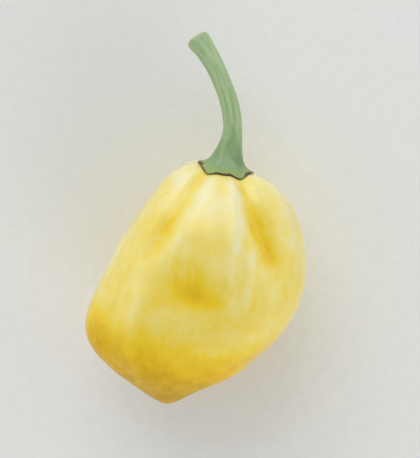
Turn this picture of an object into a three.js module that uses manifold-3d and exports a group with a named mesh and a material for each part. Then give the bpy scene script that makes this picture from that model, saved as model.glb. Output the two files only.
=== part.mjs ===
// A ripe yellow habanero pepper, as picked and laid on its side: the pod, and the green stem with its calyx.
// Millimetres, +Z up. The pod's length runs along Y with the stem towards +Y, and the side that faces up is the
// one to look at. The origin is the middle of the small flat spot that the pod rests on.
import * as THREE from "three";
import { mergeVertices } from "three/addons/utils/BufferGeometryUtils.js";
import Module from "manifold-3d";

// The pod: its size, and how far its lowest lobe is pressed flat where it rests.
const POD_LENGTH = 46.8;
const POD_WIDTH = 36.4;
const POD_DEPTH = 34.5;
const REST_FLAT_DEEP = 0.45;

// How blunt the pod's shoulder is, under 1 for a full one, and how much more pointed its tip is than that.
const SHOULDER_BLUNT = 0.8;
const TIP_POINTED = 0.72;

// The pod isn't straight: its shoulder leans this far towards +X and its lower half as far towards -X, and it
// crosses over at this share of its length.
const LEAN = 2.2;
const LEAN_CROSSES_AT = 0.62;

// How the pod lies: its stem end is lifted by this angle.
const STEM_END_LIFT = THREE.MathUtils.degToRad(2);

// Folds that run along the skin, most of them down from the calyx. A turn is in degrees about the pod's length,
// 0 facing up and 90 towards +X, given where the fold starts and where it ends. A span is in shares of the pod's
// length from the calyx. Half is half the fold's width, and rise its height: below zero for a furrow.
const FOLDS = [
  { turns: [-28, -44], span: [0.0, 0.46], half: 2.4, rise: -1.3 },
  { turns: [30, 42], span: [0.0, 0.4], half: 2.5, rise: -1.3 },
  { turns: [16, 13], span: [0.0, 0.5], half: 1.3, rise: 0.5 },
  { turns: [19, 17], span: [0.2, 0.46], half: 0.8, rise: -0.35 },
  { turns: [23, 23], span: [0.24, 0.54], half: 0.9, rise: 0.35 },
  { turns: [-38, -14], span: [0.48, 0.94], half: 2.0, rise: 0.5 },
  { turns: [-54, -34], span: [0.58, 0.98], half: 2.6, rise: -0.45 },
  { turns: [64, 58], span: [0.0, 0.42], half: 1.8, rise: 0.45 },
  { turns: [102, 120], span: [0.0, 0.84], half: 2.8, rise: -1.7 },
  { turns: [-106, -128], span: [0.0, 0.8], half: 2.9, rise: -1.8 },
  { turns: [152, 142], span: [0.0, 0.62], half: 2.4, rise: -1.4 },
  { turns: [-158, -150], span: [0.0, 0.5], half: 2.2, rise: -1.2 },
  { turns: [128, 122], span: [0.45, 0.92], half: 2.0, rise: 0.5 },
];
const FOLD_RISES_OVER = 0.05;
const FOLD_FADES_FROM = 0.45;
const FOLD_NARROW_SHARE = 0.5;
const FOLD_FULL_WIDTH_AT = 0.15;

// Knobs and dimples: where each is, how far it reaches across and along the pod, and its height.
const SWELLS = [
  { turn: 0, at: 0, across: 6, along: 3, rise: -1.3 },
  { turn: 82, at: 0.09, across: 9, along: 8, rise: 1.2 },
  { turn: -118, at: 0.025, across: 3.5, along: 4, rise: 0.8 },
  { turn: -84, at: 0.17, across: 9, along: 9, rise: -2.2 },
  { turn: -84, at: 0.46, across: 9, along: 7, rise: 0.7 },
  { turn: -62, at: 0.75, across: 8, along: 7, rise: 1.0 },
  { turn: -7, at: 0.462, across: 5.6, along: 3.8, rise: -1.2 },
  { turn: 35, at: 0.165, across: 1.8, along: 2.0, rise: -0.4 },
  { turn: 38, at: 0.252, across: 1.8, along: 2.2, rise: -0.4 },
  { turn: 42, at: 0.58, across: 6, along: 7, rise: 0.6 },
  { turn: 126, at: 0.5, across: 5, along: 4, rise: -1.0 },
  { turn: -128, at: 0.62, across: 4.5, along: 5, rise: -0.9 },
  { turn: 176, at: 0.3, across: 6, along: 5, rise: -0.7 },
  { turn: 70, at: 0.93, across: 7, along: 4, rise: -0.9 },
];

// Slow waves all over the skin: their height, and the lengths that they repeat over.
const WAVE_RISE = 0.22;
const WAVE_LENGTHS = [7.3, 9.1, 6.2];

// The stem: its thickness, its ridges, and the line that it follows out of the calyx, which is at 0, 0, 0.
// X is across, Y along the pod, away from it, and Z up from its length.
const STEM_THICK = 3.5;
const STEM_RIDGES = 5;
const STEM_RIDGE_SHARE = 0.07;
const STEM_LINE = [
  [0, 0, 0],
  [0, 5.5, 0.1],
  [-1.3, 10.0, -0.2],
  [-4.0, 14.4, -1.0],
  [-7.3, 18.2, -2.4],
  [-11.0, 21.4, -4.2],
];
const STEM_END_SWELL = 0.22;
const STEM_END_SWELLS_OVER = [0.8, 0.97];
const STEM_END_BEVEL = 0.75;

// The calyx: the flared foot of the stem, a thin green skirt that lies on the pod's shoulder.
const CALYX_RADIUS = 5.1;
const CALYX_EDGE_THICK = 0.6;
const CALYX_FLARE_LENGTH = 1.5;
const CALYX_FLARE_ENDS_AT = 3.2 * CALYX_FLARE_LENGTH;
const CALYX_TEETH = 5;
const CALYX_TOOTH_SHARE = 0.09;
const CALYX_TOOTHED_FROM = 2.5;
const CALYX_EDGE_ROUND = 0.12;
const CALYX_GAP = 0.3;

// How fine the two meshes are.
const POD_DETAIL = 17;
const STEM_SIDES = 30;
const UNDER_RINGS = 5;
const FLARE_RINGS = 8;
const STEM_RINGS = 22;

const wasm = await Module();
wasm.setup();

// A soft step from 0 to 1 as x goes from low to high.
function ease(x, low, high) {
  return THREE.MathUtils.smoothstep(x, low, high);
}

// The difference between two turns in radians, the short way round.
function turnBetween(a, b) {
  return Math.atan2(Math.sin(a - b), Math.cos(a - b));
}

// The pod's bare form: half its width at a polar angle from the calyx, and the share of its length there.
function shareAt(polar) {
  return (1 - Math.cos(polar)) / 2;
}

function halfWidthAt(polar) {
  const blunt = SHOULDER_BLUNT + TIP_POINTED * shareAt(polar) ** 3;
  return (POD_WIDTH / 2) * Math.max(0, Math.sin(polar)) ** blunt;
}

function leanAt(polar) {
  const late = Math.log(0.5) / Math.log(LEAN_CROSSES_AT);
  return LEAN * Math.sin(2 * Math.PI * shareAt(polar) ** late);
}

function barePoint(turn, polar) {
  const half = halfWidthAt(polar);
  return new THREE.Vector3(
    half * Math.sin(turn) + leanAt(polar),
    -POD_LENGTH * shareAt(polar),
    half * Math.cos(turn) * (POD_DEPTH / POD_WIDTH),
  );
}

function bareNormal(turn, polar) {
  return new THREE.Vector3(
    (Math.sin(polar) * Math.sin(turn)) / POD_WIDTH,
    Math.cos(polar) / POD_LENGTH,
    (Math.sin(polar) * Math.cos(turn)) / POD_DEPTH,
  ).normalize();
}

// How far a fold lifts the skin at one place.
function foldLift(fold, turn, polar) {
  const share = shareAt(polar);
  const [first, last] = fold.span;
  const along = THREE.MathUtils.clamp((share - first) / (last - first), 0, 1);
  const middle = THREE.MathUtils.degToRad(THREE.MathUtils.lerp(...fold.turns, along));
  const half = fold.half * THREE.MathUtils.lerp(FOLD_NARROW_SHARE, 1, ease(share, 0, FOLD_FULL_WIDTH_AT));
  const off = (turnBetween(turn, middle) * halfWidthAt(polar)) / half;
  const strength = ease(share, first, first + FOLD_RISES_OVER) * (1 - ease(along, FOLD_FADES_FROM, 1));
  return fold.rise * strength * Math.exp(-off * off);
}

// How far a knob or dimple lifts the skin at one place.
function swellLift(swell, point) {
  const polar = Math.acos(1 - 2 * swell.at);
  const gap = barePoint(THREE.MathUtils.degToRad(swell.turn), polar).sub(point);
  const across = Math.hypot(gap.x, gap.z) / swell.across;
  const along = gap.y / swell.along;
  return swell.rise * Math.exp(-across * across - along * along);
}

function waveLift(point) {
  const [a, b, c] = WAVE_LENGTHS;
  const one = Math.sin(point.x / a + 0.7) * Math.sin((2 * point.y) / b + 0.4);
  const two = Math.sin((2 * point.z) / c + 1.1) * Math.cos(point.y / a + 0.2);
  return WAVE_RISE * (one + two);
}

// A point of the finished skin, with its folds, knobs, dimples and waves.
function podPoint(turn, polar) {
  const point = barePoint(turn, polar);
  let lift = waveLift(point);
  for (const fold of FOLDS) lift += foldLift(fold, turn, polar);
  for (const swell of SWELLS) lift += swellLift(swell, point);
  return point.addScaledVector(bareNormal(turn, polar), lift);
}

// The pod as a mesh: a ball of even triangles, each corner moved out to the skin.
function podGeometry() {
  const ball = new THREE.IcosahedronGeometry(1, POD_DETAIL);
  ball.deleteAttribute("normal");
  ball.deleteAttribute("uv");
  const geometry = mergeVertices(ball, 1e-5);
  const places = geometry.attributes.position;
  for (let i = 0; i < places.count; i++) {
    const [x, y, z] = [places.getX(i), places.getY(i), places.getZ(i)];
    const polar = Math.acos(THREE.MathUtils.clamp(y, -1, 1));
    const point = podPoint(Math.atan2(x, z), polar);
    places.setXYZ(i, point.x, point.y, point.z);
  }
  return geometry;
}

// The stem's line, and a frame of two directions across it at a share of its length.
const stemCurve = new THREE.CatmullRomCurve3(STEM_LINE.map((p) => new THREE.Vector3(...p)));

function stemFrame(share) {
  const along = stemCurve.getTangentAt(share);
  const side = new THREE.Vector3(1, 0, 0).addScaledVector(along, -along.x).normalize();
  return { middle: stemCurve.getPointAt(share), side, up: side.clone().cross(along) };
}

// A ring of points, one for each side of the stem.
function ringOf(place) {
  return Array.from({ length: STEM_SIDES }, (_, side) => place((2 * Math.PI * side) / STEM_SIDES));
}

// A ring of the stem, square to its line, with its soft ridges.
function stemRing(share, radius) {
  const { middle, side, up } = stemFrame(share);
  return ringOf((turn) => {
    const ridged = radius * (1 + STEM_RIDGE_SHARE * Math.cos(STEM_RIDGES * turn));
    return middle
      .clone()
      .addScaledVector(side, ridged * Math.sin(turn))
      .addScaledVector(up, ridged * Math.cos(turn));
  });
}

// A ring of the calyx, at a height over the pod's skin, with its blunt teeth.
function skirtRing(radius, height) {
  return ringOf((turn) => {
    const tooth = CALYX_TOOTH_SHARE * Math.cos(CALYX_TEETH * turn);
    const toothed = radius * (1 + tooth * ease(radius, CALYX_TOOTHED_FROM, CALYX_RADIUS));
    const polar = Math.asin(((2 * toothed) / POD_WIDTH) ** (1 / SHOULDER_BLUNT));
    return podPoint(turn, polar).addScaledVector(bareNormal(turn, polar), height);
  });
}

// A closed mesh through rings of points, with a middle point over the first and the last ring.
function skinOver(rings) {
  const sides = rings[0].length;
  const ends = [rings[0], rings.at(-1)].map((ring) =>
    ring.reduce((sum, p) => sum.add(p), new THREE.Vector3()).divideScalar(sides),
  );
  const points = [...rings.flat(), ...ends];
  const [first, last] = [points.length - 2, points.length - 1];
  const faces = [];
  for (let side = 0; side < sides; side++) {
    const next = (side + 1) % sides;
    for (let ring = 0; ring + 1 < rings.length; ring++) {
      const [a, b] = [ring * sides + side, ring * sides + next];
      const [c, d] = [a + sides, b + sides];
      faces.push(a, b, d, a, d, c);
    }
    const lastRing = (rings.length - 1) * sides;
    faces.push(first, next, side, last, lastRing + side, lastRing + next);
  }
  const geometry = new THREE.BufferGeometry().setFromPoints(points);
  geometry.setIndex(faces);
  return geometry;
}

// A ring of the flare: near the pod it follows the skin, and higher up it is square to the stem.
function flareRing(height) {
  const neck = STEM_THICK / 2;
  const radius = neck + (CALYX_RADIUS - neck) * Math.exp(-height / CALYX_FLARE_LENGTH);
  const overPod = CALYX_GAP + CALYX_EDGE_THICK + height;
  const onPod = skirtRing(radius, overPod);
  const onStem = stemRing(overPod / stemCurve.getLength(), radius);
  const share = ease(height, 0, CALYX_FLARE_ENDS_AT / 2);
  return onPod.map((point, side) => point.lerp(onStem[side], share));
}

// The stem in one body: the calyx's underside, its edge, its flare, the stem itself and the end where it was cut.
function stemGeometry() {
  const rings = [];
  for (let ring = 1; ring <= UNDER_RINGS; ring++)
    rings.push(skirtRing((CALYX_RADIUS * ring) / UNDER_RINGS, CALYX_GAP));
  rings.push(skirtRing(CALYX_RADIUS + CALYX_EDGE_ROUND, CALYX_GAP + CALYX_EDGE_THICK / 2));
  for (let ring = 0; ring < FLARE_RINGS; ring++)
    rings.push(flareRing(CALYX_FLARE_ENDS_AT * (ring / FLARE_RINGS) ** 1.5));
  const start = (CALYX_GAP + CALYX_EDGE_THICK + CALYX_FLARE_ENDS_AT) / stemCurve.getLength();
  for (let ring = 0; ring <= STEM_RINGS; ring++) {
    const share = THREE.MathUtils.lerp(start, 1, ring / STEM_RINGS);
    const swell = 1 + STEM_END_SWELL * ease(share, ...STEM_END_SWELLS_OVER);
    rings.push(stemRing(share, (STEM_THICK / 2) * swell));
  }
  rings.push(stemRing(1, (STEM_THICK / 2) * STEM_END_BEVEL));
  return skinOver(rings);
}

// A closed geometry as a manifold-3d solid, and back.
function solidOf(geometry) {
  const merged = mergeVertices(geometry, 1e-4);
  const vertProperties = new Float32Array(merged.attributes.position.array);
  const triVerts = new Uint32Array(merged.index.array);
  return new wasm.Manifold(new wasm.Mesh({ numProp: 3, vertProperties, triVerts }));
}

function geometryOf(solid) {
  const mesh = solid.getMesh();
  const geometry = new THREE.BufferGeometry();
  geometry.setAttribute("position", new THREE.BufferAttribute(mesh.vertProperties, 3));
  geometry.setIndex(new THREE.BufferAttribute(mesh.triVerts, 1));
  geometry.computeVertexNormals();
  return geometry;
}

// The pod with its lowest lobe pressed flat at a height, by taking away what is below it.
function pressedFlat(geometry, height) {
  const below = new THREE.BoxGeometry(2 * POD_LENGTH, 2 * POD_LENGTH, POD_LENGTH);
  below.translate(0, -POD_LENGTH / 2, height - POD_LENGTH / 2);
  below.deleteAttribute("normal");
  below.deleteAttribute("uv");
  return geometryOf(solidOf(geometry).subtract(solidOf(below)));
}

// The middle of the flat spot at a height.
function flatMiddle(geometry, height) {
  const box = new THREE.Box3();
  const places = geometry.attributes.position;
  const place = new THREE.Vector3();
  for (let i = 0; i < places.count; i++) {
    place.fromBufferAttribute(places, i);
    if (Math.abs(place.z - height) < 1e-4) box.expandByPoint(place);
  }
  return box.getCenter(new THREE.Vector3());
}

const lying = new THREE.Matrix4().makeRotationX(STEM_END_LIFT);
const podAsGrown = podGeometry().applyMatrix4(lying);
podAsGrown.computeBoundingBox();
const floor = podAsGrown.boundingBox.min.z + REST_FLAT_DEEP;
const podAtRest = pressedFlat(podAsGrown, floor);
const restSpot = flatMiddle(podAtRest, floor);

const podSkin = new THREE.MeshStandardMaterial({ color: 0xecc935, roughness: 0.3, metalness: 0 });
const pod = new THREE.Mesh(podAtRest, podSkin);
pod.name = "pod";

const stemSkin = new THREE.MeshStandardMaterial({ color: 0x6f9a4c, roughness: 0.5, metalness: 0 });
const stem = new THREE.Mesh(stemGeometry().applyMatrix4(lying), stemSkin);
stem.name = "stem_and_calyx";

const pepper = new THREE.Group();
pepper.add(pod, stem);
pepper.position.copy(restSpot).negate();
export default pepper;
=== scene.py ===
import math

import bpy
import numpy as np
from mathutils import Matrix, Vector, noise
from mathutils.bvhtree import BVHTree


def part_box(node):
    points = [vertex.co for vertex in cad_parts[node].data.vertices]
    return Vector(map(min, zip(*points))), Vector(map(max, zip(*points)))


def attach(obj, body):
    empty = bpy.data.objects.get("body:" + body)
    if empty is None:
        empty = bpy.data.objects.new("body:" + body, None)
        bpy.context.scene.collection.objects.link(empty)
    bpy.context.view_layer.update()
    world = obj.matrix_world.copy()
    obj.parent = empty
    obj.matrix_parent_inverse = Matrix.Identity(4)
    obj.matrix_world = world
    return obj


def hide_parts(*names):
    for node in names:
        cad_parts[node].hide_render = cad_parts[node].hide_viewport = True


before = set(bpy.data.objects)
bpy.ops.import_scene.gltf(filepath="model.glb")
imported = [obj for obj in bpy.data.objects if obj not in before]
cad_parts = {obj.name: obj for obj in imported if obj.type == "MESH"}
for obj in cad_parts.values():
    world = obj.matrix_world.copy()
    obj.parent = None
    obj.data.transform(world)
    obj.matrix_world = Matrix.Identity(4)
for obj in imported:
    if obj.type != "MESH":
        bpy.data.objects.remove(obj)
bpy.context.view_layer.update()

# The pod: one ripe fruit, a thin crisp wall grown round an empty inside, with a smooth waxy yellow skin.
# Furrows run down from its shoulder, where its lobes meet, and fade before the pointed tip. It lies on its
# side, on the small patch that its own weight presses flat.
mm = 0.001
pod_low, pod_high = (Vector(corner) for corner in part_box("pod"))
pod_middle = (pod_low + pod_high) / 2
skin_fineness = 7
merge_gap = 0.01 * mm
smoothing_share = 0.5
facet_smoothing = 16
fold_smoothing = 60
fold_crispness = 0.7
wrinkle_depth = 0.12 * mm
wrinkles_round_pod = 5.0
wrinkles_along_pod = 2.2
wrinkles_fade_at = 0.45
dent_depth = 0.16 * mm
dent_spacing = 5 * mm
relief_smoothing = 150


def select_only(piece):
    bpy.ops.object.select_all(action="DESELECT")
    piece.select_set(True)
    bpy.context.view_layer.objects.active = piece


def add_modifier(piece, kind, **settings):
    modifier = piece.modifiers.new(kind.title(), kind)
    for name, value in settings.items():
        setattr(modifier, name, value)


def apply_modifiers(piece):
    select_only(piece)
    for modifier in list(piece.modifiers):
        bpy.ops.object.modifier_apply(modifier=modifier.name)


def copy_of(piece):
    copy = piece.copy()
    copy.data = piece.data.copy()
    bpy.context.collection.objects.link(copy)
    return copy


def points_of(piece):
    values = np.empty(len(piece.data.vertices) * 3)
    piece.data.vertices.foreach_get("co", values)
    return values.reshape(-1, 3)


def normals_of(piece):
    values = np.empty(len(piece.data.vertices) * 3)
    piece.data.vertex_normals.foreach_get("vector", values)
    return values.reshape(-1, 3)


def move_points(piece, places):
    piece.data.vertices.foreach_set("co", np.ravel(places))
    piece.data.update()


def lift_skin(piece, heights):
    move_points(piece, points_of(piece) + normals_of(piece) * np.asarray(heights)[:, None])


# How high each point stands over the piece's own slow form: below zero in a furrow, above it on a ridge.
def relief_of(piece, rounds):
    slow = copy_of(piece)
    add_modifier(slow, "SMOOTH", factor=smoothing_share, iterations=rounds)
    apply_modifiers(slow)
    heights = ((points_of(piece) - points_of(slow)) * normals_of(piece)).sum(axis=1)
    bpy.data.objects.remove(slow)
    return heights


# A fine ball at the pod's size and place is drawn onto the pod's form, and the form's facets are smoothed
# away.
bpy.ops.object.select_all(action="DESELECT")
bpy.ops.mesh.primitive_ico_sphere_add(subdivisions=skin_fineness, radius=1, location=pod_middle)
pod = bpy.context.object
pod.name = pod.data.name = "pod_skin"
bpy.ops.object.mode_set(mode="EDIT")
bpy.ops.transform.resize(value=(pod_high - pod_low) / 2, center_override=pod_middle)
bpy.ops.object.mode_set(mode="OBJECT")
bpy.ops.object.transform_apply(location=True, rotation=True, scale=True)

pod_form = copy_of(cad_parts["pod"])
select_only(pod_form)
bpy.ops.object.mode_set(mode="EDIT")
bpy.ops.mesh.select_all(action="SELECT")
bpy.ops.mesh.remove_doubles(threshold=merge_gap)
bpy.ops.object.mode_set(mode="OBJECT")
add_modifier(pod, "SHRINKWRAP", target=pod_form, wrap_method="PROJECT",
             use_negative_direction=True, use_positive_direction=True)
add_modifier(pod, "SMOOTH", factor=smoothing_share, iterations=facet_smoothing)
apply_modifiers(pod)
bpy.data.objects.remove(pod_form)

# The folds are made crisper. Fine wrinkles run down from the shoulder, and shallow dents go all over.
lift_skin(pod, fold_crispness * relief_of(pod, fold_smoothing))
from_middle = (points_of(pod) - pod_middle) / ((pod_high - pod_low) / 2)
wrinkles = []
for x, y, z in from_middle:
    down_pod = (1 - y) / 2
    round_pod = Vector((x, z, 0)).normalized() * wrinkles_round_pod
    wrinkle = noise.noise(round_pod + Vector((0, 0, wrinkles_along_pod * down_pod)))
    wrinkles.append(wrinkle * max(0, 1 - down_pod / wrinkles_fade_at))
lift_skin(pod, wrinkle_depth * np.array(wrinkles))
dents = [noise.noise(Vector(place) / dent_spacing) for place in points_of(pod)]
lift_skin(pod, dent_depth * np.array(dents))

# The skin's relief, in millimetres, is kept for its colour: painted shade in its hollows and a painted
# highlight on its ridges. The pod is flat where it lies, and keeps within its measured size.
relief_kept = pod.data.attributes.new("relief", "FLOAT", "POINT")
relief_kept.data.foreach_set("value", relief_of(pod, relief_smoothing) / mm)
move_points(pod, np.clip(points_of(pod), pod_low, pod_high))
select_only(pod)
bpy.ops.object.shade_smooth()


def add_node(tree, kind, feeds, **settings):
    new = tree.nodes.new(kind)
    for name, value in settings.items():
        setattr(new, name, value)
    for socket, feed in feeds.items():
        if isinstance(feed, bpy.types.NodeSocket):
            tree.links.new(feed, new.inputs[socket])
        else:
            new.inputs[socket].default_value = feed
    return new


def soft_mask(tree, value, none_at, full_at):
    feeds = {"Value": value, "From Min": none_at, "From Max": full_at}
    return add_node(tree, "ShaderNodeMapRange", feeds, interpolation_type="SMOOTHSTEP").outputs["Result"]


def sum_of(tree, start, *shares):
    total = start
    for value, weight in shares:
        feeds = {0: value, 1: weight, 2: total}
        total = add_node(tree, "ShaderNodeMath", feeds, operation="MULTIPLY_ADD").outputs[0]
    return total


def colours_along(tree, value, stops):
    ramp = add_node(tree, "ShaderNodeValToRGB", {"Fac": value})
    for place, _ in stops[1:-1]:
        ramp.color_ramp.elements.new(place)
    for element, (place, shade) in zip(ramp.color_ramp.elements, stops):
        element.position = place
        element.color = (*shade, 1)
    return ramp.outputs["Color"]


def make_material(name):
    material = bpy.data.materials.new(name)
    material.use_nodes = True
    return material, material.node_tree, material.node_tree.nodes["Principled BSDF"]


# Cloudy patches, from 0 to 1, as far apart as their spacing says. The skin, the stem and the floor have them.
cloud_bounds = (0.32, 0.68)
patches = bpy.data.node_groups.new("patches", "ShaderNodeTree")
patches.interface.new_socket("Place", in_out="INPUT", socket_type="NodeSocketVector")
patches.interface.new_socket("Spacing", in_out="INPUT", socket_type="NodeSocketFloat")
patches.interface.new_socket("Mask", in_out="OUTPUT", socket_type="NodeSocketFloat")
given = patches.nodes.new("NodeGroupInput").outputs
made = patches.nodes.new("NodeGroupOutput").inputs
scale = add_node(patches, "ShaderNodeMath", {0: 1.0, 1: given["Spacing"]}, operation="DIVIDE").outputs[0]
cloud_feeds = {"Vector": given["Place"], "Scale": scale, "Detail": 3.0, "Roughness": 0.55, "Distortion": 0.4}
cloud = add_node(patches, "ShaderNodeTexNoise", cloud_feeds).outputs["Fac"]
patches.links.new(soft_mask(patches, cloud, *cloud_bounds), made["Mask"])


def patches_in(tree, place, spacing):
    placed = add_node(tree, "ShaderNodeGroup", {}, node_tree=patches)
    tree.links.new(place, placed.inputs["Place"])
    placed.inputs["Spacing"].default_value = spacing
    return placed.outputs["Mask"]


# The skin runs from pale cream, through yellow, to deep gold. The paler shoulder and the deeper gold tip are
# partly real ripening; the pale ridges are a painted highlight, the rest of the pale shoulder a painted
# sheen, and the deep gold in its hollows and at the tip painted shade. A coat of wax makes it glossy, and is
# thinner towards the tip.
pale_cream = (0.83, 0.76, 0.42)
pale_yellow = (0.84, 0.70, 0.19)
ripe_yellow = (0.83, 0.59, 0.015)
gold = (0.73, 0.43, 0.003)
deep_gold = (0.53, 0.31, 0.0)
brown_gold = (0.42, 0.22, 0.0)
fullest_ripeness_and_shading = 1.25
broad_spacing = 12 * mm
small_spacing = 3 * mm
streak_spacing = 1.8 * mm
streak_squeeze = (1, 0.22, 1)
streak_height = 0.03 * mm
pore_spacing = 0.55 * mm
pore_height = 0.006 * mm

# Where the colour of each zone starts and where it is full: along the pod, and then by the relief.
lower_zone = (-3 * mm, -14 * mm)
tip_zone = (pod_low.y + 12 * mm, pod_low.y - 1 * mm)
shoulder_zone = (pod_high.y - 26 * mm, pod_high.y - 4 * mm)
hollow_shade_zone = (0.13, -0.35)
ridge_highlight_zone = (0.15, 0.42)

# Single patches: the middle of each and how far it reaches, in millimetres, and how much deeper gold the skin
# is there.
# Below zero it is paler. The dimple and valley patches are painted shade in those hollows, with one small
# real spot in the dimple; the patches below zero are painted highlights.
dimple_shade_and_spot_patches = [((-5, 2.8, 32), 6, 0.11), ((1.2, 2.2, 32), 6, 0.11), ((-1.8, 1.4, 32), 5, 0.09),
                  ((-2.5, 5.5, 32), 4, 0.07), ((-1.2, 0.9, 32), 1.6, 0.08)]
valley_shade_patches = [((5.6, 17.8, 27), 3.4, 0.12), ((6.6, 14.2, 30), 3.6, 0.1), ((7.4, 11, 31), 3, 0.08),
                  ((8.1, 16, 28), 4.2, 0.18), ((10.5, 12, 29), 4.4, 0.18), ((-9.5, 11.5, 27), 6, 0.09)]
side_patches = [((-4, 13.5, 31), 4, 0.08), ((-17, -10, 17), 10, 0.18), ((-14.5, -8, 22), 6, 0.1),
                ((16.5, -1, 17), 8, 0.16), ((12.5, -6, 23), 8, 0.2), ((14, 6, 24), 9, 0.12),
                ((9.5, 19.5, 26), 5, 0.08)]
painted_highlight_patches = [((-1.5, 18, 29), 6, -0.1), ((3.2, 15, 30), 2.4, -0.1), ((3.8, 11.5, 31), 2.4, -0.1),
                ((4.4, 7.7, 32), 3.5, -0.09), ((6.4, 1.6, 32), 3.2, -0.2), ((-10.7, 1.5, 27), 6, -0.08),
                ((-17, 3, 18), 7, -0.22)]

skin, tree, shader = make_material("pod_skin")
place = add_node(tree, "ShaderNodeTexCoord", {}).outputs["Object"]
along = add_node(tree, "ShaderNodeSeparateXYZ", {0: place}).outputs["Y"]
relief = add_node(tree, "ShaderNodeAttribute", {}, attribute_name="relief").outputs["Fac"]
# Deeper gold low down and at the tip, paler on the shoulder: partly ripening, partly painted shade on the
# lower side away from the light and a painted sheen on the shoulder that faces it.
lower = soft_mask(tree, along, *lower_zone)
tip = soft_mask(tree, along, *tip_zone)
shoulder = soft_mask(tree, along, *shoulder_zone)
# Deeper gold in the hollows is painted shade; the paler ridges are a painted highlight, which fades low down.
hollow_shade = soft_mask(tree, relief, *hollow_shade_zone)
ridge_highlight_feeds = {0: soft_mask(tree, relief, *ridge_highlight_zone), 1: sum_of(tree, 1.0, (lower, -0.6))}
ridge_highlight = add_node(tree, "ShaderNodeMath", ridge_highlight_feeds, operation="MULTIPLY").outputs[0]
broad = patches_in(tree, place, broad_spacing)
small = patches_in(tree, place, small_spacing)
squeezed = add_node(tree, "ShaderNodeMapping", {"Vector": place, "Scale": streak_squeeze}).outputs["Vector"]
streaks = patches_in(tree, squeezed, streak_spacing)
# The sum mixes ripening and random patches with painted shade and painted highlight.
ripeness_and_shading = sum_of(tree, 0.24, (hollow_shade, 0.18), (ridge_highlight, -0.2), (lower, 0.37), (tip, 0.33), (shoulder, -0.11),
                  (broad, 0.1), (small, 0.1), (streaks, 0.07))
for middle, reach, share in dimple_shade_and_spot_patches + valley_shade_patches + side_patches + painted_highlight_patches:
    away = add_node(tree, "ShaderNodeVectorMath", {0: place, 1: Vector(middle) * mm}, operation="DISTANCE")
    mask = soft_mask(tree, away.outputs["Value"], reach * mm, 0.2 * reach * mm)
    ripeness_and_shading = sum_of(tree, ripeness_and_shading, (mask, share))
ripeness_and_shading_share = sum_of(tree, 0.0, (ripeness_and_shading, 1 / fullest_ripeness_and_shading))
skin_stops = [(0.0, pale_cream), (0.22, pale_yellow), (0.44, ripe_yellow), (0.64, gold), (0.8, deep_gold),
              (1.0, brown_gold)]
tree.links.new(colours_along(tree, ripeness_and_shading_share, skin_stops), shader.inputs["Base Color"])
tree.links.new(sum_of(tree, 0.28, (small, 0.08), (streaks, 0.04), (lower, 0.1)), shader.inputs["Roughness"])
tree.links.new(sum_of(tree, 0.95, (lower, -0.75)), shader.inputs["Coat Weight"])
shader.inputs["Specular IOR Level"].default_value = 0.06
shader.inputs["Coat Roughness"].default_value = 0.22
shader.inputs["Subsurface Weight"].default_value = 0.2
shader.inputs["Subsurface Radius"].default_value = (1.0, 0.6, 0.15)
shader.inputs["Subsurface Scale"].default_value = 1.5 * mm
pore_feeds = {"Vector": place, "Scale": 1 / pore_spacing, "Detail": 2.0}
pores = add_node(tree, "ShaderNodeTexNoise", pore_feeds).outputs["Fac"]
grain = sum_of(tree, 0.0, (pores, pore_height), (streaks, streak_height))
bump = add_node(tree, "ShaderNodeBump", {"Height": grain, "Distance": 1.0, "Strength": 1.0})
tree.links.new(bump.outputs["Normal"], shader.inputs["Normal"])
pod.data.materials.append(skin)
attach(pod, "root")
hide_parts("pod")

# The stem and calyx: one green stalk with five soft ribs, grown onto the pod's shoulder by a flared foot,
# whose thin rim is dark brown. The stalk bends to one side, and swells a little at the end where it was
# picked.
stem_route = [(-1.7, 24.1, 17.6), (-1.7, 29.6, 17.9), (-3.0, 34.1, 17.7), (-5.7, 38.5, 17.1),
              (-9.0, 42.4, 15.8), (-12.7, 45.6, 14.1)]
stem_sides = 80
stem_ribs = 5
rib_share = 0.05
rib_turn = math.radians(38)
tooth_share = 0.07
ragged_share = 0.08
ragged_waves = 3.0
foot_height = 4.5 * mm
foot_shift = Vector((0.35, 0, 0.8)) * mm
calyx_gap = 0.12 * mm
root_radius = 0.6

# The straight stem's rings, as radius and height: the foot from under its middle out to the rim and up to the
# neck, then the stalk, then the face of the cut with its rounded edge and slightly sunken middle.
foot_rings = [(1.5, 0.0), (2.4, 0.0), (3.2, 0.0), (4.0, 0.0), (4.7, 0.0), (4.95, 0.02), (5.06, 0.1),
              (5.0, 0.2), (4.8, 0.28), (4.4, 0.38), (4.0, 0.52), (3.65, 0.74), (3.35, 1.05), (3.05, 1.45),
              (2.75, 2.0), (2.45, 2.75), (2.2, 3.6), (2.0, 4.6), (1.84, 5.8), (1.72, 7.2)]
stalk_rings = [(1.72, 9.0), (1.66, 11.0), (1.63, 13.0), (1.62, 15.0), (1.64, 17.0), (1.69, 19.0),
               (1.78, 21.0), (1.9, 22.6), (2.06, 23.8), (2.14, 24.7), (2.12, 25.2), (2.0, 25.45)]
cut_rings = [(1.86, 25.5), (1.5, 25.42), (0.9, 25.36), (0.3, 25.34)]

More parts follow.
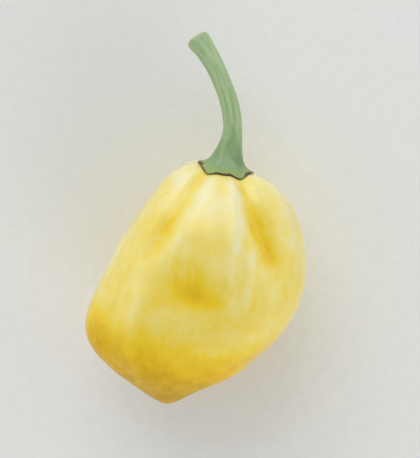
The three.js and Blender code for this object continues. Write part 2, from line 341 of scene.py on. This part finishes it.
bpy.ops.object.select_all(action="DESELECT")
bpy.ops.mesh.primitive_circle_add(vertices=stem_sides, radius=root_radius * mm, location=(0, 0, 0))
stem = bpy.context.object
stem.name = stem.data.name = "stem_skin"
bpy.ops.object.mode_set(mode="EDIT")
bpy.ops.mesh.select_all(action="SELECT")
bpy.ops.mesh.edge_face_add()
bpy.ops.mesh.select_all(action="SELECT")
last_radius, last_height = root_radius, 0
for radius, height in foot_rings + stalk_rings + cut_rings:
    rise = (height - last_height) * mm
    widening = radius / last_radius
    bpy.ops.mesh.extrude_region_move(TRANSFORM_OT_translate={"value": (0, 0, rise)})
    bpy.ops.transform.resize(value=(widening, widening, 1), center_override=(0, 0, height * mm))
    last_radius, last_height = radius, height
bpy.ops.mesh.select_all(action="SELECT")
bpy.ops.mesh.normals_make_consistent(inside=False)
bpy.ops.object.mode_set(mode="OBJECT")

# Its five ribs end in five low teeth round the rim, which is a little ragged where it has dried.
straight = points_of(stem)
straight_kept = stem.data.attributes.new("straight", "FLOAT_VECTOR", "POINT")
straight_kept.data.foreach_set("vector", np.ravel(straight))
turns = np.arctan2(straight[:, 0], straight[:, 1]) + rib_turn
in_foot = np.clip(1 - straight[:, 2] / foot_height, 0, 1)
ragged = [noise.noise(Vector((math.sin(turn), math.cos(turn), 0)) * ragged_waves) for turn in turns]
widening = 1 + (rib_share + (tooth_share - rib_share) * in_foot) * np.cos(stem_ribs * turns)
widening += ragged_share * in_foot ** 2 * np.array(ragged)
move_points(stem, straight * np.column_stack((widening, widening, np.ones(len(straight)))))

route = bpy.data.curves.new("stem_route", "CURVE")
route.dimensions = "3D"
route.resolution_u = 24
bends = route.splines.new("BEZIER").bezier_points
bends.add(len(stem_route) - 1)
for bend, corner in zip(bends, stem_route):
    bend.co = Vector(corner) * mm
    bend.handle_left_type = bend.handle_right_type = "AUTO"
route_piece = bpy.data.objects.new("stem_route", route)
bpy.context.collection.objects.link(route_piece)
add_modifier(stem, "CURVE", object=route_piece, deform_axis="POS_Z")
apply_modifiers(stem)
bpy.data.objects.remove(route_piece)

# The calyx is moved a little further over the pod's upper side and drawn down onto the skin all round its
# rim. The stalk above stays as it is.
pod_surface = BVHTree.FromObject(pod, bpy.context.evaluated_depsgraph_get())
foot_start = Vector(stem_route[0]) * mm
foot_way = (Vector(stem_route[1]) * mm - foot_start).normalized()
settled = points_of(stem)
for index, hold in enumerate(in_foot * in_foot * (3 - 2 * in_foot)):
    if hold > 0:
        point = Vector(settled[index]) + foot_shift * hold
        level = point - foot_way * (point - foot_start).dot(foot_way)
        hit = pod_surface.ray_cast(level + foot_way * foot_height, -foot_way)[0]
        settled[index] = point + foot_way * ((hit - level).dot(foot_way) + calyx_gap) * hold
move_points(stem, settled)
select_only(stem)
bpy.ops.object.shade_smooth()


def tinted(tree, base, mask, shade):
    mixed = add_node(tree, "ShaderNodeMix", {0: mask, 6: base, 7: (*shade, 1)}, data_type="RGBA")
    return mixed.outputs[2]


# Green runs along it in fine streaks under a grey bloom. The rim is dark brown, and the picked end is pale.
stalk_green = (0.22, 0.36, 0.14)
light_green = (0.40, 0.54, 0.26)
foot_green = (0.15, 0.28, 0.09)
grey_bloom = (0.42, 0.50, 0.34)
yellow_green = (0.27, 0.36, 0.12)
dark_rim_brown = (0.10, 0.06, 0.025)
pale_pith = (0.58, 0.58, 0.34)
fibre_spacing = 0.55 * mm
fibre_squeeze = (1, 1, 0.07)
fibre_height = 0.05 * mm
bloom_spacing = 2.6 * mm
bloom_height = 0.03 * mm

# Where each colour starts and where it is full: along the straight stem, and out from its middle.
foot_zone = (8 * mm, 1.5 * mm)
picked_zone = (24.9 * mm, 25.35 * mm)
flare_zone = (3 * mm, 4.3 * mm)
rim_zone = (4.85 * mm, 5.15 * mm)
rim_unevenness = 0.5 * mm

green, tree, shader = make_material("stem_green")
place = add_node(tree, "ShaderNodeAttribute", {}, attribute_name="straight").outputs["Vector"]
along = add_node(tree, "ShaderNodeSeparateXYZ", {0: place}).outputs["Z"]
level_place = add_node(tree, "ShaderNodeMapping", {"Vector": place, "Scale": (1, 1, 0)}).outputs["Vector"]
outward = add_node(tree, "ShaderNodeVectorMath", {0: level_place}, operation="LENGTH").outputs["Value"]
squeezed = add_node(tree, "ShaderNodeMapping", {"Vector": place, "Scale": fibre_squeeze}).outputs["Vector"]
fibres = patches_in(tree, squeezed, fibre_spacing)
bloom = patches_in(tree, place, bloom_spacing)
uneven_outward = sum_of(tree, 0.0, (outward, 1.0), (bloom, rim_unevenness))
colour = tinted(tree, (*stalk_green, 1), fibres, light_green)
colour = tinted(tree, colour, soft_mask(tree, along, *foot_zone), foot_green)
colour = tinted(tree, colour, sum_of(tree, 0.03, (bloom, 0.4)), grey_bloom)
colour = tinted(tree, colour, soft_mask(tree, outward, *flare_zone), yellow_green)
colour = tinted(tree, colour, soft_mask(tree, uneven_outward, *rim_zone), dark_rim_brown)
colour = tinted(tree, colour, soft_mask(tree, along, *picked_zone), pale_pith)
tree.links.new(colour, shader.inputs["Base Color"])
tree.links.new(sum_of(tree, 0.42, (bloom, 0.15)), shader.inputs["Roughness"])
shader.inputs["Subsurface Weight"].default_value = 0.1
shader.inputs["Subsurface Radius"].default_value = (0.5, 1.0, 0.3)
shader.inputs["Subsurface Scale"].default_value = 0.6 * mm
grain = sum_of(tree, 0.0, (fibres, fibre_height), (bloom, bloom_height))
bump = add_node(tree, "ShaderNodeBump", {"Height": grain, "Distance": 1.0, "Strength": 1.0})
tree.links.new(bump.outputs["Normal"], shader.inputs["Normal"])
stem.data.materials.append(green)
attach(stem, "root")
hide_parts("stem_and_calyx")

# The studio: a floor of pale matt card under a wide soft sky, which is brightest low down and on the stem's
# side. A large soft window is on that side, and a pale wall across from it fills the shadows.
floor_size = 3
card_grain = 2 * mm
card_stops = [(0.0, (0.81, 0.81, 0.79)), (1.0, (0.83, 0.83, 0.81))]
light_size = 0.9
sky_side = (-0.6, 0.8, 0)
sky_stops = [(0.0, (0, 0, 0)), (1.0, (0.97, 0.99, 1.0))]
sky_strength = 1.55

bpy.ops.object.select_all(action="DESELECT")
bpy.ops.mesh.primitive_plane_add(size=floor_size, location=(0, 0, 0))
floor = bpy.context.object
floor.name = floor.data.name = "floor"
card, tree, shader = make_material("floor")
place = add_node(tree, "ShaderNodeTexCoord", {}).outputs["Object"]
grain = patches_in(tree, place, card_grain)
tree.links.new(colours_along(tree, grain, card_stops), shader.inputs["Base Color"])
shader.inputs["Roughness"].default_value = 0.8
floor.data.materials.append(card)


def soft_light(name, place, power, mirrored):
    lamp = bpy.data.lights.new(name, "AREA")
    lamp.shape = "DISK"
    lamp.size = light_size
    lamp.energy = power
    light = bpy.data.objects.new(name, lamp)
    bpy.context.collection.objects.link(light)
    light.location = place
    light.rotation_euler = (pod_middle - light.location).to_track_quat("-Z", "Y").to_euler()
    light.visible_glossy = mirrored


soft_light("window", (-0.38, 0.77, 0.6), 3.7, True)
soft_light("far_wall", (0.62, -0.7, 0.32), 3.6, False)

room = bpy.data.worlds.new("room")
room.use_nodes = True
tree = room.node_tree
direction = add_node(tree, "ShaderNodeTexCoord", {}).outputs["Generated"]
upward = add_node(tree, "ShaderNodeSeparateXYZ", {0: direction}).outputs["Z"]
sideways = add_node(tree, "ShaderNodeVectorMath", {0: direction, 1: sky_side}, operation="DOT_PRODUCT")
glow = sum_of(tree, 0.88, (upward, -0.7), (sideways.outputs["Value"], 0.1))
sky = tree.nodes["Background"]
tree.links.new(colours_along(tree, glow, sky_stops), sky.inputs["Color"])
sky.inputs["Strength"].default_value = sky_strength
bpy.context.scene.world = room

# The camera looks down on the pod's upper side from a little beyond the stem, through a long lens that keeps
# the pod's proportions. It is turned so that the tip points down and a little to the left.
camera_height = math.radians(81)
camera_lean = math.radians(14)
camera_distance = 0.45
camera_aim = Vector((-1.5, 11.5, 16)) * mm
lens_length = 190
towards = Vector((0, math.cos(camera_height), math.sin(camera_height)))
upright = Vector((0, math.sin(camera_height), -math.cos(camera_height)))
leaning = upright * math.cos(camera_lean) - Vector((1, 0, 0)) * math.sin(camera_lean)
lens = bpy.data.cameras.new("camera")
lens.lens = lens_length
camera = bpy.data.objects.new("camera", lens)
bpy.context.collection.objects.link(camera)
axes = Matrix((leaning.cross(towards), leaning, towards)).transposed().to_4x4()
camera.matrix_world = Matrix.Translation(camera_aim + towards * camera_distance) @ axes
bpy.context.scene.camera = camera
bpy.context.scene.view_settings.view_transform = "Standard"
